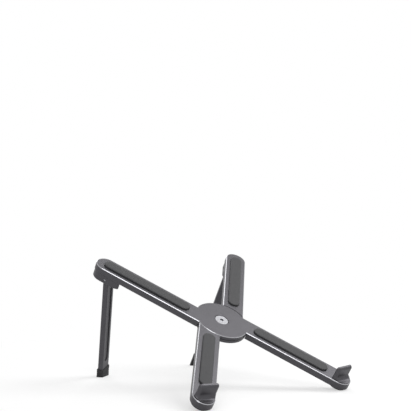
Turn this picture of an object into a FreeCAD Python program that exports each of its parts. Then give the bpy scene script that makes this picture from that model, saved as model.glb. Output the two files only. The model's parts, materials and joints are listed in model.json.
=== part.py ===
"""Folding laptop stand: two crossed bars on one pivot, a lip at each front end, a leg at each rear end."""
import FreeCAD
import Part
import Sketcher
import math
import os

from FreeCAD import Placement, Rotation, Vector

# Driving sizes in millimetres and degrees: alias, value, meaning
SIZES = [
    ("tilt", 33.4, "slope of the deck when the legs stand open"),
    ("open_angle", 35.2, "swing of each bar from its folded direction"),
    ("leg_angle", 75.0, "travel of a leg from folded to open"),
    ("bar_width", 23.2, "width of a bar"),
    ("bar_thick", 7.8, "thickness of a bar"),
    ("bar_gap", 0.8, "gap between the bars when folded"),
    ("arm_reach", 136.5, "pivot to the centre of a bar's end, along the bar"),
    ("top_bevel", 0.6, "polished bevel along the top edge"),
    ("low_bevel", 0.5, "bevel along the bottom edge"),
    ("hub_margin", 1.0, "lap's edge beyond the corner where the open bars would meet"),
    ("hub_gap", 0.4, "gap round the lap"),
    ("friction_thick", 0.5, "friction washer between the two laps"),
    ("friction_radius", 14.0, "outer radius of the friction washer"),
    ("barrel_radius", 4.0, "pivot barrel"),
    ("flange_radius", 8.0, "flange of the barrel, under the lower lap"),
    ("flange_thick", 1.6, "thickness of that flange"),
    ("head_radius", 7.5, "head of the pivot screw"),
    ("head_thick", 1.5, "thickness of that head"),
    ("spring_thick", 0.4, "spring washer under the screw head"),
    ("shank_radius", 2.5, "threaded shank of the pivot screw"),
    ("socket_flats", 4.0, "hexagon socket across its flats"),
    ("stop_radius", 20.0, "stop pin's distance from the pivot"),
    ("stop_pin_radius", 1.5, "radius of the stop pin"),
    ("groove_depth", 1.9, "depth of the groove that the stop pin runs in"),
    ("running_gap", 0.05, "radial clearance of a turning fit"),
    ("fixed_gap", 0.02, "radial clearance of a fixed fit"),
    ("side_gap", 0.3, "clearance beside a stop or a recess"),
    ("lip_width", 22.0, "width of the lip at its top"),
    ("lip_thick", 4.0, "thickness of the lip"),
    ("lip_height", 14.6, "height of the lip above the bar"),
    ("lip_step", 0.5, "height of the lip's foot above the bar"),
    ("lip_flare", 4.0, "outward lean of the lip's two ends, in degrees"),
    ("lip_back", 1.3, "inner face of the lip behind the end's centre"),
    ("lip_shift", 1.1, "middle of the lip inward of the end's centre"),
    ("lip_skew", 30.0, "turn of the lip from square across the bar"),
    ("lip_corner", 0.85, "rounding of the lip's outer corners, as a share of its thickness"),
    ("lip_fillet", 4.2, "hollow sweep from the lip onto the bar"),
    ("lip_edge", 0.7, "rounding of the lip's top outer edge, as a share of its thickness"),
    ("lip_ledge", 1.1, "lip's foot inside the bar's side"),
    ("liner_thick", 1.2, "silicone liner on the lip"),
    ("liner_inset", 2.0, "liner's margin from the lip's ends and top"),
    ("pad_width", 13.0, "silicone strip on a bar"),
    ("pad_proud", 2.0, "height of the strip above the bar"),
    ("pad_recess", 1.0, "depth of the strip's recess"),
    ("pad_edge", 0.8, "rounding of the strip's top edge"),
    ("pad_front", 22.0, "start of a front strip from the end's centre"),
    ("pad_rear", 4.0, "start of a rear strip from the end's centre"),
    ("pad_hub", 11.0, "distance of a strip's last round from the lap"),
    ("rib_count", 3, "hollows under the front half of a bar"),
    ("rib_pitch", 27.0, "distance from one hollow to the next"),
    ("rib_length", 11.0, "straight length of a hollow"),
    ("rib_radius", 6.0, "end radius of a hollow"),
    ("rib_depth", 3.4, "depth of a hollow"),
    ("rib_start", 26.0, "first hollow from the end's centre"),
    ("foot_inset", 1.6, "front foot's margin inside the round end"),
    ("foot_proud", 2.0, "front foot below the bar"),
    ("foot_recess", 0.8, "depth of the front foot's recess"),
    ("end_lift", 0.3, "metal of a front end above the table"),
    ("hinge_back", 6.5, "leg pin short of the rear end's centre"),
    ("hinge_drop", 4.8, "leg pin below the bar"),
    ("clevis_depth", 8.6, "depth of the clevis below the bar"),
    ("clevis_length", 16.0, "straight length of the clevis"),
    ("clevis_inset", 0.6, "clevis side inside the bar's side"),
    ("clevis_bevel", 0.8, "bevel round the clevis's under side"),
    ("leg_width", 15.0, "width of a leg"),
    ("leg_thick", 6.0, "thickness of a leg"),
    ("leg_bevel", 0.6, "bevel along a leg's long edges"),
    ("leg_groove_width", 7.0, "shallow groove along both faces of a leg"),
    ("leg_groove_depth", 0.9, "depth of that groove"),
    ("leg_groove_top", 16.0, "groove's start below the pin"),
    ("leg_groove_length", 84.0, "straight length of that groove"),
    ("leg_pin_radius", 1.5, "leg pin"),
    ("leg_pin_inset", 0.8, "pin's ends inside the clevis"),
    ("leg_washer_thick", 0.6, "washer on each side of a leg"),
    ("leg_washer_radius", 2.7, "outer radius of that washer"),
    ("leg_play", 0.05, "clearance on each side of a washer"),
    ("stop_play", 0.12, "clearance between an open leg and its stop"),
    ("boot_wall", 1.0, "rubber boot round the leg's end"),
    ("boot_height", 12.0, "height of the boot along the leg"),
    ("boot_sole", 3.0, "rubber under the leg's end"),
]

doc = FreeCAD.newDocument("LaptopStand")
sheet = doc.addObject("Spreadsheet::Sheet", "Sizes")
for row, (alias, value, meaning) in enumerate(SIZES, start=1):
    sheet.set("A%d" % row, alias)
    sheet.set("B%d" % row, str(value))
    sheet.set("C%d" % row, meaning)
    sheet.setAlias("B%d" % row, alias)
doc.recompute()


class Size:
    """A length or angle with its number and the sheet expression that gives it."""

    def __init__(self, text, value):
        self.text, self.value = text, value

    def __add__(self, other):
        other = size(other)
        return Size("(%s + %s)" % (self.text, other.text), self.value + other.value)

    def __sub__(self, other):
        other = size(other)
        return Size("(%s - %s)" % (self.text, other.text), self.value - other.value)

    def __mul__(self, other):
        other = size(other)
        return Size("(%s * %s)" % (self.text, other.text), self.value * other.value)

    def __truediv__(self, other):
        other = size(other)
        return Size("(%s / %s)" % (self.text, other.text), self.value / other.value)

    def __neg__(self):
        return Size("(-1 * %s)" % self.text, -self.value)


def size(item):
    """A named size, a plain number or a Size, as a Size."""
    if isinstance(item, Size):
        return item
    if isinstance(item, str):
        return Size("Sizes.%s" % item, float(sheet.get(item)))
    return Size("(%r)" % float(item), float(item))


def num(item):
    """The plain number of a size."""
    return size(item).value


def trig(word, angle):
    """The sine, cosine or tangent of an angle size."""
    angle = size(angle)
    work = {"sin": math.sin, "cos": math.cos, "tan": math.tan}[word]
    return Size("%s(%s * 1 deg)" % (word, angle.text), work(math.radians(angle.value)))


# Sizes that follow from the sheet
ZERO = size(0)
WIDTH, THICK = size("bar_width"), size("bar_thick")
HALF = WIDTH / 2
OFFSET = HALF + size("bar_gap") / 2
FRONT = REAR = size("arm_reach")
LAP_LOW = THICK / 2 - size("friction_thick") / 2
LAP_HIGH = THICK / 2 + size("friction_thick") / 2
LAP_RADIUS = (OFFSET + HALF) / trig("cos", "open_angle") + "hub_margin"
HUB_RADIUS = LAP_RADIUS - "hub_gap"
HEAD_FLOOR = THICK - "head_thick" - "spring_thick" - 0.1
FLANGE_ROOF = size("flange_thick") + 0.1
STRIP_TOP = THICK + "pad_proud"
LIP_TOP = THICK + "lip_height"
HINGE = REAR - "hinge_back"
DROP = size("hinge_drop")
SLOT = size("leg_width") + (size("leg_washer_thick") + size("leg_play") * 2) * 2
LEAN = size(90) - "leg_angle"


def body(name):
    """An empty body."""
    item = doc.addObject("PartDesign::Body", name)
    item.Label = name
    return item


def sketch(owner, role, lift=ZERO):
    """A sketch on one of the body's own planes, moved along the plane's normal."""
    plane = [f for f in owner.Origin.OriginFeatures if f.Role == role][0]
    item = owner.newObject("Sketcher::SketchObject", "Sketch")
    item.AttachmentSupport = (plane, [""])
    item.MapMode = "FlatFace"
    item.setExpression("AttachmentOffset.Base.z", size(lift).text)
    return item


def fix(item, kind, where, amount):
    """A sketch dimension that follows the sheet."""
    index = item.addConstraint(Sketcher.Constraint(kind, *where, num(amount)))
    item.setExpression("Constraints[%d]" % index, size(amount).text)


def pin_point(item, geo, pos, x, y):
    """Places one point of a sketch."""
    fix(item, "DistanceX", (-1, 1, geo, pos), x)
    fix(item, "DistanceY", (-1, 1, geo, pos), y)


def circle(item, x, y, radius):
    """A circle in a sketch."""
    centre = Vector(num(x), num(y), 0)
    geo = item.addGeometry(Part.Circle(centre, Vector(0, 0, 1), num(radius)), False)
    pin_point(item, geo, 3, x, y)
    fix(item, "Radius", (geo,), radius)
    return item


def polygon(item, points):
    """A closed outline of straight lines in a sketch."""
    places = [Vector(num(x), num(y), 0) for x, y in points]
    lines = [item.addGeometry(Part.LineSegment(a, b), False)
             for a, b in zip(places, places[1:] + places[:1])]
    for here, after in zip(lines, lines[1:] + lines[:1]):
        item.addConstraint(Sketcher.Constraint("Coincident", here, 2, after, 1))
    for geo, (x, y) in zip(lines, points):
        pin_point(item, geo, 1, x, y)
    return item


def block(item, x, y, wide, high):
    """A rectangle about a centre."""
    x, y, wide, high = size(x), size(y), size(wide) / 2, size(high) / 2
    return polygon(item, [(x - wide, y - high), (x + wide, y - high),
                          (x + wide, y + high), (x - wide, y + high)])


def slot(item, x, low, high, radius):
    """A long outline with two round ends, along the sketch's second axis."""
    r, cx, y0, y1 = num(radius), num(x), num(low), num(high)
    up, turn = Vector(0, 0, 1), math.pi
    ends = Part.Circle(Vector(cx, y0, 0), up, r), Part.Circle(Vector(cx, y1, 0), up, r)
    bottom = item.addGeometry(Part.ArcOfCircle(ends[0], turn, 2 * turn), False)
    right = item.addGeometry(Part.LineSegment(Vector(cx + r, y0, 0), Vector(cx + r, y1, 0)), False)
    top = item.addGeometry(Part.ArcOfCircle(ends[1], 0, turn), False)
    left = item.addGeometry(Part.LineSegment(Vector(cx - r, y1, 0), Vector(cx - r, y0, 0)), False)
    for a, b in ((bottom, right), (right, top), (top, left), (left, bottom)):
        item.addConstraint(Sketcher.Constraint("Tangent", a, 2, b, 1))
    item.addConstraint(Sketcher.Constraint("Equal", bottom, top))
    pin_point(item, bottom, 3, x, low)
    pin_point(item, top, 3, x, high)
    fix(item, "Radius", (bottom,), radius)
    return item


def extrude(owner, kind, profile, length, backward=False):
    """A pad or pocket of a sketch; a pocket must take something away."""
    before = owner.Shape.Volume if kind == "Pocket" else 0.0
    feature = owner.newObject("PartDesign::" + kind, kind)
    feature.Profile = profile
    feature.setExpression("Length", size(length).text)
    feature.Reversed = backward
    doc.recompute()
    if kind == "Pocket" and not owner.Shape.Volume < before - 1e-6:
        raise RuntimeError("nothing cut in " + owner.Label)
    return feature


def pad(owner, profile, length, backward=False):
    return extrude(owner, "Pad", profile, length, backward)


def pocket(owner, profile, length, backward=False):
    return extrude(owner, "Pocket", profile, length, backward)


def revolve(owner, points):
    """A solid of revolution about the body's upright axis, from radius and height pairs."""
    profile = polygon(sketch(owner, "XZ_Plane"), points)
    feature = owner.newObject("PartDesign::Revolution", "Revolution")
    feature.Profile = profile
    feature.ReferenceAxis = (profile, ["V_Axis"])
    feature.Angle = 360.0
    doc.recompute()
    return feature


def dress(owner, kind, names, amount):
    """A fillet or chamfer on named edges or faces of the body's last feature."""
    feature = owner.newObject("PartDesign::" + kind, kind)
    feature.Base = (owner.Tip if owner.Tip != feature else feature.BaseFeature, names)
    feature.setExpression("Radius" if kind == "Fillet" else "Size", size(amount).text)
    doc.recompute()
    return feature


def flat_face(owner, height):
    """The name of the largest level face at a height."""
    found = [(f.Area, n) for n, f in enumerate(owner.Shape.Faces, start=1)
             if abs(f.BoundBox.ZMin - num(height)) < 1e-6 and abs(f.BoundBox.ZMax - num(height)) < 1e-6]
    return "Face%d" % max(found)[1]


def edges(owner, test):
    """The names of the edges whose middle point passes a test."""
    names = []
    for n, edge in enumerate(owner.Shape.Edges, start=1):
        middle = edge.valueAt((edge.FirstParameter + edge.LastParameter) / 2)
        if test(middle, edge):
            names.append("Edge%d" % n)
    return names


def place(item, *steps):
    """Puts an object at a chain of placements."""
    whole = Placement()
    for step in steps:
        whole = whole.multiply(step)
    item.Placement = whole
    return item


def move(x=0, y=0, z=0):
    return Placement(Vector(num(x), num(y), num(z)), Rotation())


def turn(axis, angle):
    return Placement(Vector(), Rotation(axis, num(angle)))


def boolean(kind, name, base, tool):
    """A cut, fuse or common of two objects."""
    item = doc.addObject("Part::" + kind, name)
    item.Base, item.Tool = base, tool
    if hasattr(item, "Refine"):
        item.Refine = True
    item.Label = name
    doc.recompute()
    return item


X, Z = Vector(1, 0, 0), Vector(0, 0, 1)
BIG = FRONT * 4


# The deck's own frame: pivot at its origin, under side of the bars at height 0, rear along +Y
def deck_height():
    """Height of the deck's origin over the table, so that the front ends clear it."""
    swing, slope = math.radians(num("open_angle")), math.radians(num("tilt"))
    nose = num(FRONT) * math.cos(swing) - num(OFFSET) * math.sin(swing) + num(HALF)
    return num("end_lift") + nose * math.sin(slope)


DECK = move(z=deck_height()).multiply(turn(X, "tilt"))
parts = {}


def table(name, height):
    """Everything below a level, for cutting soles flat."""
    item = doc.addObject("Part::Box", name)
    for side in ("Length", "Width", "Height"):
        item.setExpression(side, BIG.text)
    place(item, move(-BIG / 2, -BIG / 2, size(height) - BIG))
    return item


def bar_frame(side):
    """The open place of a bar: side -1 has its lip at the left, +1 at the right."""
    return DECK.multiply(turn(Z, size("open_angle") * side))


def leg_frame(side):
    """The open place of the leg under a bar's rear end."""
    hinge = bar_frame(side).multiply(move(OFFSET * -side, HINGE, -DROP))
    return hinge.multiply(turn(X, -LEAN))


def bar_plate(name, side):
    """Round lap and two offset arms with bevelled edges."""
    bar = body(name + "_plate")
    pad(bar, circle(sketch(bar, "XY_Plane"), ZERO, ZERO, HUB_RADIUS), THICK)
    pad(bar, slot(sketch(bar, "XY_Plane"), OFFSET * side, -FRONT, ZERO, HALF), THICK)
    pad(bar, slot(sketch(bar, "XY_Plane"), OFFSET * -side, ZERO, REAR, HALF), THICK)
    dress(bar, "Chamfer", [flat_face(bar, THICK)], "top_bevel")
    dress(bar, "Chamfer", [flat_face(bar, 0)], "low_bevel")
    return bar


def cut_clevis(bar, side):
    """Clevis under the rear end, with a sloping stop behind the leg."""
    x = OFFSET * -side
    outline = slot(sketch(bar, "XY_Plane"), x, REAR - "clevis_length", REAR, HALF - "clevis_inset")
    pad(bar, outline, "clevis_depth", backward=True)
    dress(bar, "Chamfer", [flat_face(bar, -size("clevis_depth"))], "clevis_bevel")
    reach = size("leg_thick") / 2 + "stop_play"
    slope = trig("tan", LEAN)
    roof = HINGE + reach / trig("cos", LEAN) + DROP * slope
    floor = size("clevis_depth") + 1
    gap = polygon(sketch(bar, "YZ_Plane", x - SLOT / 2),
                  [(REAR - "clevis_length" - WIDTH, ZERO), (REAR - "clevis_length" - WIDTH, -floor),
                   (roof - floor * slope, -floor), (roof, ZERO)])
    pocket(bar, gap, SLOT, backward=True)
    bore = circle(sketch(bar, "YZ_Plane", x - WIDTH), HINGE, -DROP, size("leg_pin_radius") + "fixed_gap")
    pocket(bar, bore, WIDTH * 2, backward=True)


def cut_seats(bar, side):
    """Recesses for the two strips and the foot, and hollows under the front arm."""
    depth, radius = size("pad_recess"), size("pad_width") / 2
    front, rear = strip_spans()
    pocket(bar, slot(sketch(bar, "XY_Plane", THICK), OFFSET * side, *front, radius), depth)
    pocket(bar, slot(sketch(bar, "XY_Plane", THICK), OFFSET * -side, *rear, radius), depth)
    seat = circle(sketch(bar, "XY_Plane"), OFFSET * side, -FRONT, HALF - "foot_inset")
    pocket(bar, seat, "foot_recess", backward=True)
    start = -FRONT + "rib_start"
    for index in range(int(num("rib_count"))):
        low = start + size("rib_pitch") * index
        hollow = slot(sketch(bar, "XY_Plane"), OFFSET * side, low, low + "rib_length", "rib_radius")
        pocket(bar, hollow, "rib_depth", backward=True)


def strip_spans():
    """First and last round centres of the front and the rear strip along the bar."""
    near = LAP_RADIUS + "pad_hub"
    return (-FRONT + "pad_front", -near), (near, REAR - "pad_rear")


def lower_lap(bar):
    """Half-thick lap with the barrel's bore and the stop pin's hole."""
    pocket(bar, circle(sketch(bar, "XY_Plane", THICK), ZERO, ZERO, LAP_RADIUS), THICK - LAP_LOW)
    bore = circle(sketch(bar, "XY_Plane", LAP_LOW), ZERO, ZERO, size("barrel_radius") + "fixed_gap")
    pocket(bar, bore, THICK)
    flange = circle(sketch(bar, "XY_Plane"), ZERO, ZERO, size("flange_radius") + "side_gap")
    pocket(bar, flange, FLANGE_ROOF, backward=True)
    x, y = stop_place()
    hole = circle(sketch(bar, "XY_Plane", LAP_LOW), x, y, size("stop_pin_radius") + "fixed_gap")
    pocket(bar, hole, LAP_LOW - "foot_recess")


def upper_lap(bar):
    """Half-thick lap with the screw head's recess and the stop pin's curved groove."""
    pocket(bar, circle(sketch(bar, "XY_Plane"), ZERO, ZERO, LAP_RADIUS), LAP_HIGH, backward=True)
    bore = circle(sketch(bar, "XY_Plane", THICK), ZERO, ZERO, size("barrel_radius") + "running_gap")
    pocket(bar, bore, THICK)
    head = circle(sketch(bar, "XY_Plane", THICK), ZERO, ZERO, size("head_radius") + "side_gap")
    pocket(bar, head, THICK - HEAD_FLOOR)
    before = bar.Shape.Volume
    tall = size("groove_depth") + LAP_HIGH
    room = (size("stop_pin_radius") + "side_gap") * 2
    profile = block(sketch(bar, "YZ_Plane"), "stop_radius", tall / 2, room, tall)
    groove = bar.newObject("PartDesign::Groove", "Groove")
    groove.Profile = profile
    groove.ReferenceAxis = (profile, ["V_Axis"])
    groove.Midplane = True
    margin = room / size("stop_radius") * (180 / math.pi)
    groove.setExpression("Angle", (size("open_angle") * 2 + margin).text)
    doc.recompute()
    if not bar.Shape.Volume < before - 1e-6:
        raise RuntimeError("no stop groove")


def stop_place():
    """Stop pin's place in the left bar: straight behind the pivot when open."""
    return (size("stop_radius") * -trig("sin", "open_angle"),
            size("stop_radius") * trig("cos", "open_angle"))


def lip(name, side):
    """Lip with a hollow sweep, bounded by the bar's round end."""
    wall = body(name + "_lip_wall")
    middle = size("lip_shift") * -side
    back, front = size("lip_back"), size("lip_back") - "lip_thick"
    foot, ledge = THICK - "top_bevel", THICK + "lip_step"
    shelf = polygon(sketch(wall, "XY_Plane", foot),
                    [(-WIDTH * 2, back), (WIDTH * 2, back), (WIDTH * 2, -WIDTH * 2), (-WIDTH * 2, -WIDTH * 2)])
    pad(wall, shelf, ledge - foot)
    stem = block(sketch(wall, "XY_Plane", foot), middle, (back + front) / 2, "lip_width", "lip_thick")
    pad(wall, stem, LIP_TOP - foot)
    tall = num(LIP_TOP + ledge) / 2
    dress(wall, "Fillet", edges(wall, lambda p, e: abs(p.z - tall) < 0.01 and p.y < num(back) - 0.1),
          size("lip_corner") * "lip_thick")
    dress(wall, "Fillet", edges(wall, lambda p, e: abs(p.z - num(ledge)) < 0.01
                                and abs(p.x) < num(WIDTH) and p.y < num(back) - 0.1
                                and p.y > -num(WIDTH)), "lip_fillet")
    rim = edges(wall, lambda p, e: abs(p.z - num(LIP_TOP)) < 0.01 and p.y < num(back) - 0.01)
    dress(wall, "Fillet", rim, size("lip_edge") * "lip_thick")
    rim = edges(wall, lambda p, e: abs(p.z - num(LIP_TOP)) < 0.01 and p.y > num(back) - 0.01)
    dress(wall, "Chamfer", rim, size("lip_thick") * 0.1)
    frame = bar_frame(side)
    place(wall, frame, move(OFFSET * side, -FRONT, 0), turn(Z, size("lip_skew") * -side))
    bound = body(name + "_lip_bound")
    outline = slot(sketch(bound, "XY_Plane", foot), OFFSET * side, -FRONT, -FRONT + WIDTH * 2,
                   HALF - "lip_ledge")
    flared = pad(bound, outline, LIP_TOP)
    flared.setExpression("TaperAngle", size("lip_flare").text)
    place(bound, frame)
    return boolean("Common", name + "_lip", wall, bound)


def make_bar(name, side):
    """One whole bar with its lip."""
    bar = bar_plate(name, side)
    cut_clevis(bar, side)
    if side < 0:
        lower_lap(bar)
    else:
        upper_lap(bar)
    cut_seats(bar, side)
    place(bar, bar_frame(side))
    parts[name] = boolean("Fuse", name, bar, lip(name, side))


def make_pivot():
    """Barrel, screw, washers and stop pin, fixed to the left bar."""
    frame = bar_frame(-1)
    barrel = body("pivot_barrel")
    low, top = size(0.05), HEAD_FLOOR + "spring_thick"
    revolve(barrel, [(ZERO, low), (size("flange_radius"), low),
                     (size("flange_radius"), low + "flange_thick"),
                     (size("barrel_radius"), low + "flange_thick"), (size("barrel_radius"), top),
                     (size("shank_radius") + "fixed_gap", top),
                     (size("shank_radius") + "fixed_gap", low + "flange_thick"),
                     (ZERO, low + "flange_thick")])
    screw = body("pivot_screw")
    revolve(screw, [(ZERO, low + "flange_thick" + "side_gap"),
                    (size("shank_radius"), low + "flange_thick" + "side_gap"),
                    (size("shank_radius"), top), (size("head_radius"), top),
                    (size("head_radius"), top + size("head_thick") * 0.7),
                    (size("head_radius") - size("head_thick") * 0.3, top + "head_thick"),
                    (ZERO, top + "head_thick")])
    reach = size("socket_flats") / 2
    corner = reach * (2 / math.sqrt(3))
    socket = polygon(sketch(screw, "XY_Plane", top + "head_thick"),
                     [(corner, ZERO), (corner / 2, reach), (-corner / 2, reach),
                      (-corner, ZERO), (-corner / 2, -reach), (corner / 2, -reach)])
    pocket(screw, socket, size("head_thick") * 0.8)
    spring = ring("pivot_spring_washer", size("barrel_radius") + "side_gap",
                  size("head_radius") - "side_gap", HEAD_FLOOR, "spring_thick")
    friction = ring("pivot_friction_washer", size("barrel_radius") + "side_gap", "friction_radius",
                    LAP_LOW, "friction_thick")
    stop = body("stop_pin")
    x, y = stop_place()
    pad(stop, circle(sketch(stop, "XY_Plane", "foot_recess"), x, y, "stop_pin_radius"),
        LAP_HIGH + "groove_depth" - "foot_recess" - "side_gap")
    for item in (barrel, screw, spring, friction, stop):
        parts[item.Label] = place(item, frame)


def ring(name, inner, outer, low, thick):
    """A flat washer."""
    item = body(name)
    pad(item, circle(circle(sketch(item, "XY_Plane", low), ZERO, ZERO, inner), ZERO, ZERO, outer), thick)
    return item


def make_strip(name, side, x, span):
    """A silicone strip in its recess."""
    strip = body(name)
    outline = slot(sketch(strip, "XY_Plane", THICK - "pad_recess"), x, *span,
                   size("pad_width") / 2 - "fixed_gap")
    pad(strip, outline, size("pad_proud") + "pad_recess")
    dress(strip, "Fillet", [flat_face(strip, STRIP_TOP)], "pad_edge")
    parts[name] = place(strip, bar_frame(side))


def make_liner(name, side):
    """A silicone liner on the inner face of a lip."""
    liner = body(name)
    low, high = STRIP_TOP, LIP_TOP - "liner_inset"
    plate = block(sketch(liner, "XZ_Plane", -size("lip_back") - "liner_thick"), size("lip_shift") * -side,
                  (low + high) / 2, size("lip_width") - size("liner_inset") * 2, high - low)
    pad(liner, plate, "liner_thick")
    face = num(size("lip_back") + "liner_thick")
    dress(liner, "Fillet", edges(liner, lambda p, e: abs(p.y - face) < 0.01), size("liner_thick") * 0.5)
    parts[name] = place(liner, bar_frame(side), move(OFFSET * side, -FRONT, 0),
                        turn(Z, size("lip_skew") * -side))


def make_foot(name, side):
    """A rubber foot under a front end, cut level with the table."""
    disc = body(name + "_disc")
    radius = HALF - "foot_inset" - "fixed_gap"
    pad(disc, circle(sketch(disc, "XY_Plane", -size("foot_proud")), OFFSET * side, -FRONT, radius),
        size("foot_proud") + "foot_recess")
    place(disc, bar_frame(side))
    parts[name] = boolean("Cut", name, disc, table(name + "_table", 0))


def leg_blank(name, side, radius, low, width):
    """A round-topped bar along the leg, from the pin down."""
    item = body(name)
    pad(item, slot(sketch(item, "YZ_Plane", -size(width) / 2), ZERO, -low, ZERO, radius), width)
    flank = num(width) / 2
    dress(item, "Chamfer", edges(item, lambda p, e: abs(abs(p.x) - flank) < 0.01), "leg_bevel")
    place(item, leg_frame(side))
    return item


def leg_reach(side):
    """Distance from the leg's pin down the leg to the table."""
    frame = leg_frame(side)
    return frame.Base.z / frame.Rotation.multVec(Z).z


def make_leg(word, side):
    """Leg, pin, washers and rubber boot under a bar's rear end."""
    half = size("leg_thick") / 2
    reach = leg_reach(side)
    blank = leg_blank(word + "_leg_blank", side, half, size(reach) + "leg_width", "leg_width")
    bore = circle(sketch(blank, "YZ_Plane", -WIDTH), ZERO, ZERO, size("leg_pin_radius") + "running_gap")
    pocket(blank, bore, WIDTH * 2, backward=True)
    for face in (-1, 1):
        start = -size("leg_groove_top")
        groove = slot(sketch(blank, "XZ_Plane", half * face), ZERO, start - "leg_groove_length", start,
                      size("leg_groove_width") / 2)
        pocket(blank, groove, "leg_groove_depth", backward=face < 0)
    leg = boolean("Cut", word + "_leg", blank, table(word + "_leg_table", "boot_sole"))
    pin = body(word + "_leg_pin")
    span = WIDTH - (size("clevis_inset") + "leg_pin_inset") * 2
    pad(pin, circle(sketch(pin, "YZ_Plane", -span / 2), ZERO, ZERO, "leg_pin_radius"), span)
    washers = make_washers(word + "_leg_washers")
    for item in (pin, washers):
        place(item, leg_frame(side))
    parts.update({word + "_leg": leg, pin.Label: pin, washers.Label: washers})
    make_boot(word, side, leg, reach)


def make_washers(name):
    """The two washers beside a leg."""
    rings = []
    for face in (-1, 1):
        middle = (size("leg_width") / 2 + "leg_play" + size("leg_washer_thick") / 2) * face
        item = body("%s_%s" % (name, "right" if face > 0 else "left"))
        profile = sketch(item, "YZ_Plane", middle - size("leg_washer_thick") / 2)
        circle(profile, ZERO, ZERO, size("leg_pin_radius") + "running_gap")
        pad(item, circle(profile, ZERO, ZERO, "leg_washer_radius"), "leg_washer_thick")
        rings.append(item)
    group = doc.addObject("Part::Compound", name)
    group.Links = rings
    group.Label = name
    doc.recompute()
    return group


def make_boot(word, side, leg, reach):
    """A rubber boot over the leg's end, flat on the table."""
    shell = body(word + "_leg_boot_shell")
    wide, deep = (size(name) + size("boot_wall") * 2 for name in ("leg_width", "leg_thick"))
    outline = block(sketch(shell, "XY_Plane", -size(reach) - "leg_width"), ZERO, ZERO, wide, deep)
    pad(shell, outline, size("boot_height") + "leg_width")
    upright = edges(shell, lambda p, e: abs(e.tangentAt(e.FirstParameter).z) > 0.99)
    dress(shell, "Fillet", upright, size("boot_wall") * 1.5)
    dress(shell, "Chamfer", [flat_face(shell, size("boot_height") - reach)], size("boot_wall") * 0.5)
    place(shell, leg_frame(side))
    sole = boolean("Cut", word + "_leg_boot_sole", shell, table(word + "_leg_boot_table", 0))
    parts[word + "_leg_boot"] = boolean("Cut", word + "_leg_boot", sole, leg)


def build():
    """Every piece of the stand."""
    front, rear = strip_spans()
    for word, side, other in (("left", -1, "right"), ("right", 1, "left")):
        make_bar(word + "_bar", side)
        make_strip(word + "_front_pad", side, OFFSET * side, front)
        make_strip(other + "_rear_pad", side, OFFSET * -side, rear)
        make_liner(word + "_lip_liner", side)
        make_foot(word + "_front_foot", side)
        make_leg(other, side)
    make_pivot()
    doc.recompute()


def centre():
    """Moves the whole stand so that its box is centred over the origin."""
    box = FreeCAD.BoundBox()
    for item in parts.values():
        box.add(item.Shape.optimalBoundingBox(False, False))
    return Vector(-box.Center.x, -box.Center.y, -box.ZMin)


def write():
    """Checks every piece and writes it."""
    bad = [o.Label for o in doc.Objects if "Invalid" in o.State or "Error" in o.State]
    bad += [name for name, o in parts.items() if o.Shape.isNull() or not o.Shape.isValid()]
    if bad:
        raise RuntimeError("failed: " + ", ".join(bad))
    os.makedirs("parts", exist_ok=True)
    shift = centre()
    print("moved by", tuple(round(v, 4) for v in shift))
    for name, item in parts.items():
        shape = item.Shape.copy()
        shape.translate(shift)
        shape.exportStep("parts/%s.step" % name)
        print("%-24s %10.2f mm3" % (name, shape.Volume))


build()
write()
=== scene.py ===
"""Looks of the folding stand: finishes, silicone, rubber, studio and camera."""
import json
import logging
import math
from abc import ABC, abstractmethod
from dataclasses import dataclass
from enum import Enum
from typing import Any, ClassVar

import bmesh
import bpy
from mathutils import Matrix, Vector


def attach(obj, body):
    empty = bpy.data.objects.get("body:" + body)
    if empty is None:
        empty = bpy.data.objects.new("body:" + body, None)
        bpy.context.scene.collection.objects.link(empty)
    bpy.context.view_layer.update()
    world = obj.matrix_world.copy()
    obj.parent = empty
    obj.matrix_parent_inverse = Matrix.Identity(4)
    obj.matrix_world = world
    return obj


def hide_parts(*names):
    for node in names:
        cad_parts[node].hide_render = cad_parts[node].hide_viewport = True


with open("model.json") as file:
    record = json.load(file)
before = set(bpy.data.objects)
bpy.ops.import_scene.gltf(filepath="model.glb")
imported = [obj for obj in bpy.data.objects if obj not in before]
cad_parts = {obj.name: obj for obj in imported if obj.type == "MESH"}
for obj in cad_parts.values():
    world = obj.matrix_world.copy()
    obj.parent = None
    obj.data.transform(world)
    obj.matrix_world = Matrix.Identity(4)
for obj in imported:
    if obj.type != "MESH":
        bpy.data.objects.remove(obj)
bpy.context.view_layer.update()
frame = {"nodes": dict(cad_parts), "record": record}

log = logging.getLogger("stand")
MM = 0.001
WHITE = (1.0, 1.0, 1.0, 1.0)
# Places of the colour sockets on a Mix node, whose names repeat.
MIX_LOW, MIX_HIGH, MIX_RESULT = 6, 7, 2

Point = tuple[float, float, float]
Colour = tuple[float, float, float]
Span = tuple[float, float]
Steps = tuple[Span, ...]
Mesh = bmesh.types.BMesh
Face = bmesh.types.BMFace
Piece = bpy.types.Object
Material = bpy.types.Material
Socket = bpy.types.NodeSocket


class Slot(Enum):
    """Material slots of the record."""

    ANODISED = "anodised"
    SILICONE = "silicone"
    RUBBER = "rubber"
    STEEL = "steel"
    NYLON = "nylon"


class Half(Enum):
    """Front or rear half of a bar."""

    FRONT = "front"
    REAR = "rear"


class Side(Enum):
    """The bar that a piece sits on, named for the place of the bar's lip."""

    LEFT = -1
    RIGHT = 1

    @property
    def word(self) -> str:
        """Name of this side."""
        return self.name.lower()

    @property
    def other(self) -> str:
        """Name of the opposite side, where the bar's rear end and its leg are."""
        return "right" if self is Side.LEFT else "left"

    @property
    def body(self) -> str:
        """Body that moves with this bar."""
        return self.word + "_frame"


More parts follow.
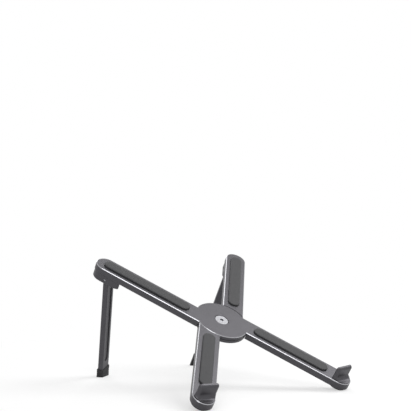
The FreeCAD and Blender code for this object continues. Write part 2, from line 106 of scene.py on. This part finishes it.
@dataclass(frozen=True)
class Deck:
    """Place of the tilted deck and of the two crossed bars, in millimetres and degrees."""

    tilt: float = 33.4
    swing: float = 35.2
    origin_y: float = -18.161
    origin_z: float = 64.2786
    bar_width: float = 23.2
    bar_thick: float = 7.8
    bar_gap: float = 0.8
    reach: float = 136.5
    hinge_back: float = 6.5
    hinge_drop: float = 4.8
    leg_lean: float = 15.0

    @property
    def offset(self) -> float:
        """Sideways offset of an arm from the pivot."""
        return (self.bar_width + self.bar_gap) / 2

    @property
    def normal(self) -> Vector:
        """Direction square to the deck."""
        slope = math.radians(self.tilt)
        return Vector((0.0, -math.sin(slope), math.cos(slope)))

    @property
    def pivot(self) -> Vector:
        """Point on the pivot's axis at the bars' under side, in metres."""
        return Vector((0.0, self.origin_y, self.origin_z)) * MM

    @property
    def level(self) -> float:
        """Height of the bars' under side along the deck's normal, in metres."""
        return self.pivot.dot(self.normal)

    def bar(self, side: Side) -> Matrix:
        """Frame of one bar.

        Args:
            side: The bar.
        Returns:
            Matrix from the bar's own millimetres to metres in the stand's frame.
        """
        slope = Matrix.Rotation(math.radians(self.tilt), 4, "X")
        swing = Matrix.Rotation(math.radians(self.swing) * side.value, 4, "Z")
        return Matrix.Translation(self.pivot) @ slope @ swing @ Matrix.Scale(MM, 4)

    def lip(self, side: Side) -> Matrix:
        """Frame of one bar's front end, with the centre of its round nose at the origin.

        Args:
            side: The bar.
        Returns:
            Matrix from the end's own millimetres to metres in the stand's frame.
        """
        return self.bar(side) @ Matrix.Translation((self.offset * side.value, -self.reach, 0.0))

    def leg(self, side: Side) -> Matrix:
        """Frame of the leg under one bar's rear end, with the pin at its origin.

        Args:
            side: The bar.
        Returns:
            Matrix from the leg's own millimetres to metres in the stand's frame.
        """
        hinge = (-self.offset * side.value, self.reach - self.hinge_back, -self.hinge_drop)
        lean = Matrix.Rotation(math.radians(-self.leg_lean), 4, "X")
        return self.bar(side) @ Matrix.Translation(hinge) @ lean

    def hinge(self, side: Side) -> tuple[Point, Point]:
        """Point in metres and direction of the leg pin under one bar."""
        leg = self.leg(side)
        return tuple(leg.translation), tuple(leg.to_3x3().col[0].normalized())


DECK = Deck()


@dataclass(frozen=True)
class Grain:
    """Noise: grains per metre, and its fineness."""

    scale: float
    detail: float = 2.0


class Wiring:
    """A node tree, built one node at a time."""

    def __init__(self, owner: Material | bpy.types.World) -> None:
        """Empties the owner's node tree.

        Args:
            owner: A material or a world.
        """
        owner.use_nodes = True
        self.owner = owner
        self.tree = owner.node_tree
        self.tree.nodes.clear()

    def node(self, kind: str, inputs: dict[Any, Any] | None = None, **settings: Any) -> bpy.types.Node:
        """Adds a node, sets its options and fills or links its sockets.

        Args:
            kind: Node type without its ShaderNode prefix.
            inputs: Socket name or number to a value or another node's socket.
            settings: Options of the node.
        Returns:
            The node.
        """
        made = self.tree.nodes.new("ShaderNode" + kind)
        for key, value in settings.items():
            setattr(made, key, value)
        for key, value in (inputs or {}).items():
            if isinstance(value, Socket):
                self.tree.links.new(value, made.inputs[key])
            else:
                made.inputs[key].default_value = value
        return made

    def calculate(self, work: str, *terms: Any) -> Socket:
        """Adds a math node.

        Args:
            work: Operation of the node.
            terms: Numbers or sockets.
        Returns:
            Its result.
        """
        return self.node("Math", dict(enumerate(terms)), operation=work).outputs[0]

    def vector(self, work: str, *terms: Any) -> Socket:
        """Adds a vector math node.

        Args:
            work: Operation of the node.
            terms: Vectors or sockets.
        Returns:
            Its vector, or its number where the operation gives one.
        """
        made = self.node("VectorMath", dict(enumerate(terms)), operation=work)
        return made.outputs["Value" if work in ("DOT_PRODUCT", "LENGTH") else "Vector"]

    def blend(self, factor: Any, low: Any, high: Any) -> Socket:
        """Mixes two colours.

        Args:
            factor: Number or socket from 0 to 1.
            low: Colour or socket at 0.
            high: Colour or socket at 1.
        Returns:
            The mixed colour.
        """
        low, high = ((*end, 1.0) if isinstance(end, tuple) else end for end in (low, high))
        sockets = {"Factor": factor, MIX_LOW: low, MIX_HIGH: high}
        return self.node("Mix", sockets, data_type="RGBA").outputs[MIX_RESULT]

    def mix(self, factor: Socket, low: bpy.types.Node, high: bpy.types.Node) -> bpy.types.Node:
        """Mixes two shaders.

        Args:
            factor: Socket from 0 to 1.
            low: Shader at 0.
            high: Shader at 1.
        Returns:
            The mixed shader.
        """
        return self.node("MixShader", {0: factor, 1: low.outputs[0], 2: high.outputs[0]})

    def ramp(self, value: Socket, low: float, high: float, start: float = 0.0, end: float = 1.0,
             **settings: Any) -> Socket:
        """Maps one range onto another.

        Args:
            value: Socket that is mapped.
            low: Result at the start.
            high: Result at the end.
            start: Value where the ramp starts.
            end: Value where the ramp ends.
            settings: Options of the node.
        Returns:
            The mapped value.
        """
        sockets = {"Value": value, "From Min": start, "From Max": end, "To Min": low, "To Max": high}
        return self.node("MapRange", sockets, **settings).outputs[0]

    def place(self) -> Socket:
        """Point on the piece, in its own coordinates."""
        return self.node("TexCoord").outputs["Object"]

    def noise(self, grain: Grain) -> Socket:
        """Adds noise on the piece's own coordinates.

        Args:
            grain: Size and fineness.
        Returns:
            The noise from 0 to 1.
        """
        sockets = {"Vector": self.place(), "Scale": grain.scale, "Detail": grain.detail}
        return self.node("TexNoise", sockets).outputs[0]

    def seen(self) -> Socket:
        """Tells rays from the camera, from gloss and through glass, as 1, from others, as 0."""
        path = self.node("LightPath").outputs
        direct = self.calculate("MAXIMUM", path["Is Camera Ray"], path["Is Glossy Ray"])
        return self.calculate("MAXIMUM", direct, path["Is Transmission Ray"])

    def coat(self, sockets: dict[str, Any], relief: Socket, depth: float) -> Material:
        """Ends a material in a shader with a bump.

        Args:
            sockets: Shader sockets.
            relief: Height of the bump from 0 to 1.
            depth: Depth of the bump in metres.
        Returns:
            The material.
        """
        bump = self.node("Bump", {"Height": relief, "Distance": depth, "Strength": 1.0})
        shader = self.node("BsdfPrincipled", {**sockets, "Normal": bump.outputs[0]})
        self.node("OutputMaterial", {"Surface": shader.outputs[0]})
        return self.owner


@dataclass(frozen=True)
class AnodisedMetal:
    """Dark grey bead-blasted metal with a polished bevel along the bars' top edge."""

    name: str = "anodised_metal"
    colour: Colour = (0.066, 0.064, 0.071)
    pale: Colour = (0.08, 0.078, 0.085)
    bright: Colour = (0.38, 0.38, 0.4)
    metallic: float = 0.8
    rough: Span = (0.38, 0.46)
    polish: float = 0.18
    cloud: Grain = Grain(38.0, 3.0)
    matt: Grain = Grain(900.0)
    blast: Grain = Grain(11000.0, 3.0)
    depth: float = 0.000012
    bevel_turn: float = 45.0
    bevel_margin: float = 0.08
    bevel_low: float = 7.1
    bevel_high: float = 7.9

    def bevel(self, wiring: Wiring) -> Socket:
        """Finds the bevel by its slant and by its height above the bars' under side.

        Args:
            wiring: Nodes of the material.
        Returns:
            1 on the bevel and 0 elsewhere.
        """
        coords = wiring.node("TexCoord").outputs
        square = tuple(DECK.normal)
        facing = wiring.vector("DOT_PRODUCT", coords["Normal"], square)
        height = wiring.vector("DOT_PRODUCT", coords["Object"], square)
        turn = math.cos(math.radians(self.bevel_turn))
        middle = DECK.level + (self.bevel_high + self.bevel_low) / 2 * MM
        reach = (self.bevel_high - self.bevel_low) / 2 * MM
        slant = wiring.calculate("COMPARE", facing, turn, self.bevel_margin)
        band = wiring.calculate("COMPARE", height, middle, reach)
        return wiring.calculate("MULTIPLY", slant, band)

    def build(self) -> Material:
        """Makes the material."""
        wiring = Wiring(bpy.data.materials.new(self.name))
        bevel = self.bevel(wiring)
        plain = wiring.blend(wiring.noise(self.cloud), self.colour, self.pale)
        tint = wiring.blend(bevel, plain, self.bright)
        matt = wiring.ramp(wiring.noise(self.matt), *self.rough)
        rough = wiring.calculate("MULTIPLY_ADD", bevel, -self.polish, matt)
        unpolished = wiring.calculate("SUBTRACT", 1.0, bevel)
        relief = wiring.calculate("MULTIPLY", wiring.noise(self.blast), unpolished)
        sockets = {"Base Color": tint, "Roughness": rough, "Metallic": self.metallic}
        return wiring.coat(sockets, relief, self.depth)


@dataclass(frozen=True)
class SoftFinish:
    """Matt silicone, rubber or nylon with a fine moulded grain."""

    name: str
    colour: Colour
    dusty: Colour
    rough: Span = (0.6, 0.75)
    cloud: Grain = Grain(60.0, 4.0)
    matt: Grain = Grain(700.0)
    skin: Grain = Grain(2600.0)
    depth: float = 0.00004

    def build(self) -> Material:
        """Makes the material."""
        wiring = Wiring(bpy.data.materials.new(self.name))
        tint = wiring.blend(wiring.noise(self.cloud), self.colour, self.dusty)
        rough = wiring.ramp(wiring.noise(self.matt), *self.rough)
        return wiring.coat({"Base Color": tint, "Roughness": rough}, wiring.noise(self.skin), self.depth)


@dataclass(frozen=True)
class TurnedSteel:
    """Satin steel with rings left by the lathe about one axis."""

    name: str
    point: Point
    axis: Point
    colour: Colour = (0.3, 0.3, 0.315)
    dull: Colour = (0.22, 0.22, 0.232)
    rough: Span = (0.42, 0.52)
    pitch: float = 0.45
    scuff: Grain = Grain(240.0, 3.0)
    matt: Grain = Grain(1500.0)
    depth: float = 0.00001

    def build(self) -> Material:
        """Makes the material."""
        wiring = Wiring(bpy.data.materials.new(self.name))
        arm = wiring.vector("SUBTRACT", wiring.place(), self.point)
        radius = wiring.vector("LENGTH", wiring.vector("CROSS_PRODUCT", arm, self.axis))
        phase = wiring.calculate("MULTIPLY", radius, 2 * math.pi / (self.pitch * MM))
        rings = wiring.calculate("MULTIPLY_ADD", wiring.calculate("SINE", phase), 0.5, 0.5)
        marks = wiring.calculate("MULTIPLY", rings, wiring.noise(self.scuff))
        tint = wiring.blend(marks, self.colour, self.dull)
        rough = wiring.ramp(wiring.noise(self.matt), *self.rough)
        return wiring.coat({"Base Color": tint, "Roughness": rough, "Metallic": 1.0}, marks, self.depth)


SILICONE = SoftFinish("soft_silicone", (0.018, 0.018, 0.02), (0.028, 0.028, 0.03))
RUBBER = SoftFinish("matt_rubber", (0.012, 0.012, 0.013), (0.02, 0.02, 0.021), rough=(0.7, 0.85),
                    skin=Grain(1800.0), depth=0.00006)
NYLON = SoftFinish("washer_nylon", (0.05, 0.05, 0.05), (0.07, 0.07, 0.07), rough=(0.4, 0.5))


class Finishes:
    """All materials, and the CAD pieces that wear them."""

    def __init__(self) -> None:
        """Makes every material once."""
        pivot = TurnedSteel("turned_pivot_steel", tuple(DECK.pivot), tuple(DECK.normal))
        finishes = {Slot.ANODISED: AnodisedMetal(), Slot.SILICONE: SILICONE, Slot.RUBBER: RUBBER,
                    Slot.STEEL: pivot, Slot.NYLON: NYLON}
        self.by_slot: dict[Slot, Material] = {slot: finish.build() for slot, finish in finishes.items()}
        self.by_node: dict[str, Material] = {}
        for side in Side:
            pin = TurnedSteel(side.other + "_pin_steel", *DECK.hinge(side))
            self.by_node[side.other + "_leg_pin"] = pin.build()

    def dress_frame(self) -> None:
        """Gives each CAD piece its own material or that of its slot."""
        for entry in frame["record"]["subparts"]:
            name = entry["node"]
            usual = self.by_slot[Slot(entry["material_slot"])]
            materials = frame["nodes"][name].data.materials
            materials.clear()
            materials.append(self.by_node.get(name, usual))
            log.info("dressed %s", name)


def round_off(mesh: Mesh, geom: list[Any], radius: float, segments: int, affect: str = "EDGES") -> None:
    """Rounds edges or corners.

    Args:
        mesh: The shape.
        geom: The edges or corners.
        radius: Distance that the rounding reaches on each side.
        segments: Faces across the rounding.
        affect: EDGES or VERTICES.
    """
    bmesh.ops.bevel(mesh, geom=geom, offset=radius, offset_type="OFFSET", segments=segments, profile=0.5,
                    affect=affect, material=-1)


def raise_lid(mesh: Mesh, height: float) -> Face:
    """Gives a shape of one flat face a thickness.

    Args:
        mesh: The shape.
        height: The thickness.
    Returns:
        The face on top.
    """
    grown = bmesh.ops.extrude_face_region(mesh, geom=mesh.faces[:])["geom"]
    lid = next(g for g in grown if isinstance(g, Face))
    bmesh.ops.translate(mesh, verts=lid.verts[:], vec=(0, 0, height))
    return lid


def step_face(mesh: Mesh, face: Face) -> Face:
    """Grows a new ring of faces from the edge of a face.

    Args:
        mesh: The shape.
        face: The face, which is used up.
    Returns:
        The face inside the new ring, still in the old place.
    """
    grown = bmesh.ops.extrude_face_region(mesh, geom=[face])["geom"]
    if face.is_valid:
        bmesh.ops.delete(mesh, geom=[face], context="FACES_ONLY")
    return next(g for g in grown if isinstance(g, Face))


def cut_level(mesh: Mesh) -> Face:
    """Cuts a shape flat at the table.

    Args:
        mesh: The shape in metres in the stand's frame.
    Returns:
        The sole that stands on the table.
    """
    every = mesh.verts[:] + mesh.edges[:] + mesh.faces[:]
    bmesh.ops.bisect_plane(mesh, geom=every, plane_co=(0, 0, 0), plane_no=(0, 0, 1), clear_inner=True)
    return bmesh.ops.holes_fill(mesh, edges=[e for e in mesh.edges if e.is_boundary])["faces"][0]


def hollow_sole(mesh: Mesh, sole: Face, rim: float, depth: float) -> None:
    """Sinks the middle of a sole inside a rim.

    Args:
        mesh: The shape in metres in the stand's frame.
        sole: The face that stands on the table.
        rim: Share of the sole that stays outside the hollow.
        depth: Depth of the hollow in metres.
    """
    middle = Matrix.Translation(-sole.calc_center_median())
    for share, rise in ((1 - rim, 0.0), (1 - rim / 4, depth)):
        sole = step_face(mesh, sole)
        bmesh.ops.scale(mesh, verts=sole.verts[:], vec=(share, share, 1), space=middle)
        bmesh.ops.translate(mesh, verts=sole.verts[:], vec=(0, 0, rise))


def piece_from(mesh: Mesh, name: str, sharp: float = 35.0) -> Piece:
    """Puts a finished shape in the scene.

    Args:
        mesh: The shape in metres in the stand's frame, which is used up.
        name: Name of the piece.
        sharp: Edges that turn by more than this many degrees stay sharp.
    Returns:
        The new piece.
    """
    bmesh.ops.recalc_face_normals(mesh, faces=mesh.faces)
    data = bpy.data.meshes.new(name)
    mesh.to_mesh(data)
    mesh.free()
    for face in data.polygons:
        face.use_smooth = True
    data.set_sharp_from_angle(angle=math.radians(sharp))
    piece = bpy.data.objects.new(name, data)
    bpy.context.collection.objects.link(piece)
    return piece


@dataclass
class MouldedPiece(ABC):
    """A silicone or rubber piece of one bar, which takes the place of a CAD node."""

    side: Side

    slot: ClassVar[Slot]

    @property
    @abstractmethod
    def node(self) -> str:
        """CAD node that the piece takes the place of."""

    @property
    def name(self) -> str:
        """Name of the piece."""
        return self.slot.value + "_" + self.node

    @property
    def body(self) -> str:
        """Body that the piece moves with."""
        return self.side.body

    @abstractmethod
    def shape(self) -> Mesh:
        """Models the piece, in metres in the stand's frame."""

    def build(self) -> Piece:
        """Puts the modelled piece in the scene."""
        return piece_from(self.shape(), self.name)

    def dress(self, piece: Piece, finishes: Finishes) -> None:
        """Gives the piece its material and its place among the bodies.

        Args:
            piece: The built piece.
            finishes: The materials.
        """
        piece.data.materials.append(finishes.by_slot[self.slot])
        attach(piece, self.body)
        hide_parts(self.node)


@dataclass
class SiliconeStrip(MouldedPiece):
    """A crowned silicone strip with round ends, in the top of one half of a bar."""

    half: Half
    width: float = 12.96
    recess: float = 1.0
    proud: float = 2.0
    edge: float = 0.8
    edge_segments: int = 4
    crown: float = 0.12
    crown_steps: Steps = ((1.2, 0.55), (1.4, 0.3), (1.6, 0.15))
    front_start: float = 22.0
    rear_start: float = 4.0
    hub: float = 40.8809
    segments: int = 48

    slot: ClassVar[Slot] = Slot.SILICONE

    @property
    def node(self) -> str:
        """CAD node, named for the corner of the deck that the strip carries."""
        corner = self.side.word if self.half is Half.FRONT else self.side.other
        return corner + "_" + self.half.value + "_pad"

    @property
    def name(self) -> str:
        """Name of the strip."""
        return "strip_" + self.node

    def span(self) -> tuple[float, float, float]:
        """Sideways place and the two round centres along the bar."""
        if self.half is Half.FRONT:
            return DECK.offset * self.side.value, self.front_start - DECK.reach, -self.hub
        return -DECK.offset * self.side.value, self.hub, DECK.reach - self.rear_start

    def shape(self) -> Mesh:
        """Models the strip from a circle that is drawn out lengthways."""
        sideways, low, high = self.span()
        mesh = bmesh.new()
        bmesh.ops.create_circle(mesh, cap_ends=True, segments=self.segments, radius=self.width / 2)
        # Half a step of turn leaves no corner on the line that parts the two ends.
        half_step = Matrix.Rotation(math.pi / self.segments, 3, "Z")
        bmesh.ops.rotate(mesh, verts=mesh.verts, matrix=half_step)
        far_end = [v for v in mesh.verts if v.co.y > 0]
        bmesh.ops.translate(mesh, verts=far_end, vec=(0, high - low, 0))
        bmesh.ops.translate(mesh, verts=mesh.verts, vec=(sideways, low, DECK.bar_thick - self.recess))
        lid = raise_lid(mesh, self.recess + self.proud - self.crown)
        round_off(mesh, lid.edges[:], self.edge, self.edge_segments)
        top = max(mesh.faces, key=lambda f: f.calc_center_median().z)
        for inset, share in self.crown_steps:
            bmesh.ops.inset_region(mesh, faces=[top], thickness=inset, use_even_offset=True)
            bmesh.ops.translate(mesh, verts=top.verts[:], vec=(0, 0, self.crown * share))
        bmesh.ops.transform(mesh, matrix=DECK.bar(self.side), verts=mesh.verts)
        return mesh


@dataclass
class LipLiner(MouldedPiece):
    """A thin silicone liner on the inner face of a lip."""

    width: float = 18.0
    low: float = 9.8
    high: float = 20.4
    back: float = 1.3
    thick: float = 1.2
    shift: float = 1.1
    skew: float = 30.0
    corner: float = 1.6
    corner_segments: int = 6
    edge: float = 0.55
    edge_segments: int = 3

    slot: ClassVar[Slot] = Slot.SILICONE

    @property
    def node(self) -> str:
        """CAD node of the liner."""
        return self.side.word + "_lip_liner"

    def shape(self) -> Mesh:
        """Models the liner from a block with round corners."""
        mesh = bmesh.new()
        bmesh.ops.create_cube(mesh, size=1.0)
        bmesh.ops.scale(mesh, verts=mesh.verts, vec=(self.width, self.thick, self.high - self.low))
        across = [e for e in mesh.edges if abs((e.verts[0].co - e.verts[1].co).y) > self.thick / 2]
        round_off(mesh, across, self.corner, self.corner_segments)
        face = max(mesh.faces, key=lambda f: f.calc_center_median().y)
        round_off(mesh, face.edges[:], self.edge, self.edge_segments)
        middle = (-self.shift * self.side.value, self.back + self.thick / 2, (self.low + self.high) / 2)
        bmesh.ops.translate(mesh, verts=mesh.verts, vec=middle)
        skew = Matrix.Rotation(math.radians(-self.skew * self.side.value), 4, "Z")
        bmesh.ops.transform(mesh, matrix=DECK.lip(self.side) @ skew, verts=mesh.verts)
        return mesh


@dataclass
class FrontFoot(MouldedPiece):
    """A round rubber foot under a bar's front end, flat on the table."""

    radius: float = 9.98
    proud: float = 2.0
    recess: float = 0.8
    edge: float = 0.5
    edge_segments: int = 3
    segments: int = 64

    slot: ClassVar[Slot] = Slot.RUBBER

    @property
    def node(self) -> str:
        """CAD node of the foot."""
        return self.side.word + "_front_foot"

    def shape(self) -> Mesh:
        """Models the foot from a disc that is cut level with the table."""
        mesh = bmesh.new()
        bmesh.ops.create_circle(mesh, cap_ends=True, segments=self.segments, radius=self.radius)
        underside = mesh.faces[:][0]
        raise_lid(mesh, self.proud + self.recess)
        round_off(mesh, underside.edges[:], self.edge, self.edge_segments)
        bmesh.ops.translate(mesh, verts=mesh.verts, vec=(0, 0, -self.proud))
        bmesh.ops.transform(mesh, matrix=DECK.lip(self.side), verts=mesh.verts)
        cut_level(mesh)
        return mesh


@dataclass
class LegBoot(MouldedPiece):
    """A rubber boot with grip grooves round a leg's end, flat on the table."""

    wide: float = 17.0
    deep: float = 8.0
    corner: float = 1.5
    corner_segments: int = 6
    tall: float = 12.0
    wall: float = 1.0
    sole: float = 3.0
    below: float = 15.0
    grooves: tuple[float, ...] = (3.6, 6.4)
    groove_width: float = 1.5
    groove_depth: float = 0.4
    mouth: Steps = ((0.6, 0.0), (0.2, 0.15), (0.0, 0.5))
    rim: float = 0.2
    hollow: float = 0.4

    slot: ClassVar[Slot] = Slot.RUBBER

    @property
    def node(self) -> str:
        """CAD node of the boot."""
        return self.side.other + "_leg_boot"

    @property
    def name(self) -> str:
        """Name of the boot."""
        return "rubber_" + self.side.other + "_boot"

    @property
    def body(self) -> str:
        """Leg that the boot moves with."""
        return self.side.other + "_leg"

    def profile(self) -> list[Span]:
        """Height along the leg and inset of each ring, up the outside and down into the socket."""
        rings = []
        for low in self.grooves:
            high = low + self.groove_width
            rings += [(low, 0.0), (low + self.groove_depth, self.groove_depth),
                      (high - self.groove_depth, self.groove_depth), (high, 0.0)]
        rings += [(self.tall - drop, inset) for drop, inset in self.mouth]
        return rings + [(self.tall, self.wall), (self.sole, self.wall)]

    def stretch(self, inset: float) -> tuple[float, float, float]:
        """Scale that draws the outline in by an inset."""
        return 1 - 2 * inset / self.wide, 1 - 2 * inset / self.deep, 1.0

    def shape(self) -> Mesh:
        """Models the boot from a plate with round corners, ring by ring."""
        leg = DECK.leg(self.side)
        along = leg.to_3x3().col[2].normalized()
        reach = leg.translation.z / along.z / MM
        mesh = bmesh.new()
        bmesh.ops.create_grid(mesh, x_segments=1, y_segments=1, size=0.5)
        bmesh.ops.scale(mesh, verts=mesh.verts, vec=(self.wide, self.deep, 1))
        round_off(mesh, mesh.verts[:], self.corner, self.corner_segments, "VERTICES")
        bmesh.ops.translate(mesh, verts=mesh.verts, vec=(0, 0, -self.below - reach))
        lid, height, drawn = mesh.faces[:][0], -self.below, self.stretch(0.0)
        for level, inset in self.profile():
            lid = step_face(mesh, lid)
            draw = self.stretch(inset)
            bmesh.ops.scale(mesh, verts=lid.verts[:], vec=[a / b for a, b in zip(draw, drawn)])
            bmesh.ops.translate(mesh, verts=lid.verts[:], vec=(0, 0, level - height))
            height, drawn = level, draw
        bmesh.ops.transform(mesh, matrix=leg, verts=mesh.verts)
        # The bottom of the socket is level with the table, so its corners slide along the leg.
        for vertex in lid.verts:
            vertex.co += along * ((self.sole * MM - vertex.co.z) / along.z)
        hollow_sole(mesh, cut_level(mesh), self.rim, self.hollow * MM)
        return mesh


@dataclass(frozen=True)
class Lamp:
    """A soft square lamp, in metres and watts."""

    name: str
    place: Point
    width: float
    power: float

    def build(self, target: Point) -> None:
        """Adds the lamp, turned to a target.

        Args:
            target: Point that it faces, in metres.
        """
        data = bpy.data.lights.new(self.name, "AREA")
        data.shape, data.size, data.energy = "SQUARE", self.width, self.power
        lamp = bpy.data.objects.new(self.name, data)
        lamp.location = self.place
        aim = Vector(target) - Vector(self.place)
        lamp.rotation_euler = aim.to_track_quat("-Z", "Y").to_euler()
        bpy.context.collection.objects.link(lamp)


@dataclass
class Studio:
    """Pale floor, soft light and the camera, in metres and degrees."""

    camera_place: Point = (-0.64276, -0.85495, 0.18709)
    camera_turn: Point = (90.2555, 0.0, -36.7311)
    camera_clip: Span = (0.05, 50.0)
    lens: float = 86.985
    sensor: float = 36.0
    floor_size: float = 6.0
    floor_colour: Colour = (0.9, 0.9, 0.9)
    floor_pale: Colour = (0.92, 0.92, 0.92)
    floor_cloud: Grain = Grain(3.0)
    shade: Span = (0.16, 0.42)
    glow: float = 0.5
    ambient: float = 0.42
    target: Point = (0.0, 0.0, 0.06)
    lamps: tuple[Lamp, ...] = (Lamp("rear_softbox", (0.3, 0.85, 0.85), 0.8, 4.5),
                               Lamp("front_softbox", (-0.58, -0.67, 0.88), 0.6, 4.0),
                               Lamp("right_softbox", (0.65, -0.3, 1.0), 0.75, 9.0))

    def floor(self) -> None:
        """Makes the floor, shaded near the stand, white further away and clear from below."""
        mesh = bmesh.new()
        bmesh.ops.create_grid(mesh, x_segments=2, y_segments=2, size=self.floor_size)
        piece = piece_from(mesh, "studio_floor")
        wiring = Wiring(bpy.data.materials.new("pale_floor"))
        tint = wiring.blend(wiring.noise(self.floor_cloud), self.floor_colour, self.floor_pale)
        cloth = wiring.node("BsdfDiffuse", {"Color": tint})
        glow = wiring.node("Emission", {"Color": WHITE, "Strength": 1.0})
        away = wiring.vector("LENGTH", wiring.place())
        fade = wiring.ramp(away, self.glow, 1.0, *self.shade, interpolation_type="SMOOTHSTEP")
        top = wiring.mix(wiring.calculate("MULTIPLY", fade, wiring.seen()), cloth, glow)
        under = wiring.node("NewGeometry").outputs["Backfacing"]
        floor = wiring.mix(under, top, wiring.node("BsdfTransparent"))
        wiring.node("OutputMaterial", {"Surface": floor.outputs[0]})
        piece.data.materials.append(wiring.owner)

    def world(self) -> None:
        """Makes the surround, white to the camera and in gloss, and softer as light."""
        world = bpy.data.worlds.new("surround")
        bpy.context.scene.world = world
        wiring = Wiring(world)
        level = wiring.ramp(wiring.seen(), self.ambient, 1.0)
        back = wiring.node("Background", {"Color": WHITE, "Strength": level})
        wiring.node("OutputWorld", {"Surface": back.outputs[0]})

    def camera(self) -> None:
        """Adds the camera, low and from the front left."""
        data = bpy.data.cameras.new("camera")
        data.sensor_width, data.lens = self.sensor, self.lens
        data.clip_start, data.clip_end = self.camera_clip
        eye = bpy.data.objects.new("camera", data)
        eye.location = self.camera_place
        eye.rotation_euler = tuple(math.radians(a) for a in self.camera_turn)
        bpy.context.collection.objects.link(eye)
        bpy.context.scene.camera = eye

    def build(self) -> None:
        """Makes the whole studio."""
        self.floor()
        self.world()
        for lamp in self.lamps:
            lamp.build(self.target)
        self.camera()
        bpy.context.scene.view_settings.view_transform = "Standard"


def main() -> None:
    """Builds every piece in order."""
    logging.basicConfig(level=logging.INFO, format="%(message)s")
    finishes = Finishes()
    finishes.dress_frame()
    for side in Side:
        strips = [SiliconeStrip(side, half) for half in Half]
        for moulded in (*strips, LipLiner(side), FrontFoot(side), LegBoot(side)):
            piece = moulded.build()
            moulded.dress(piece, finishes)
            log.info("made %s", piece.name)
    Studio().build()


if __name__ == "__main__":
    main()
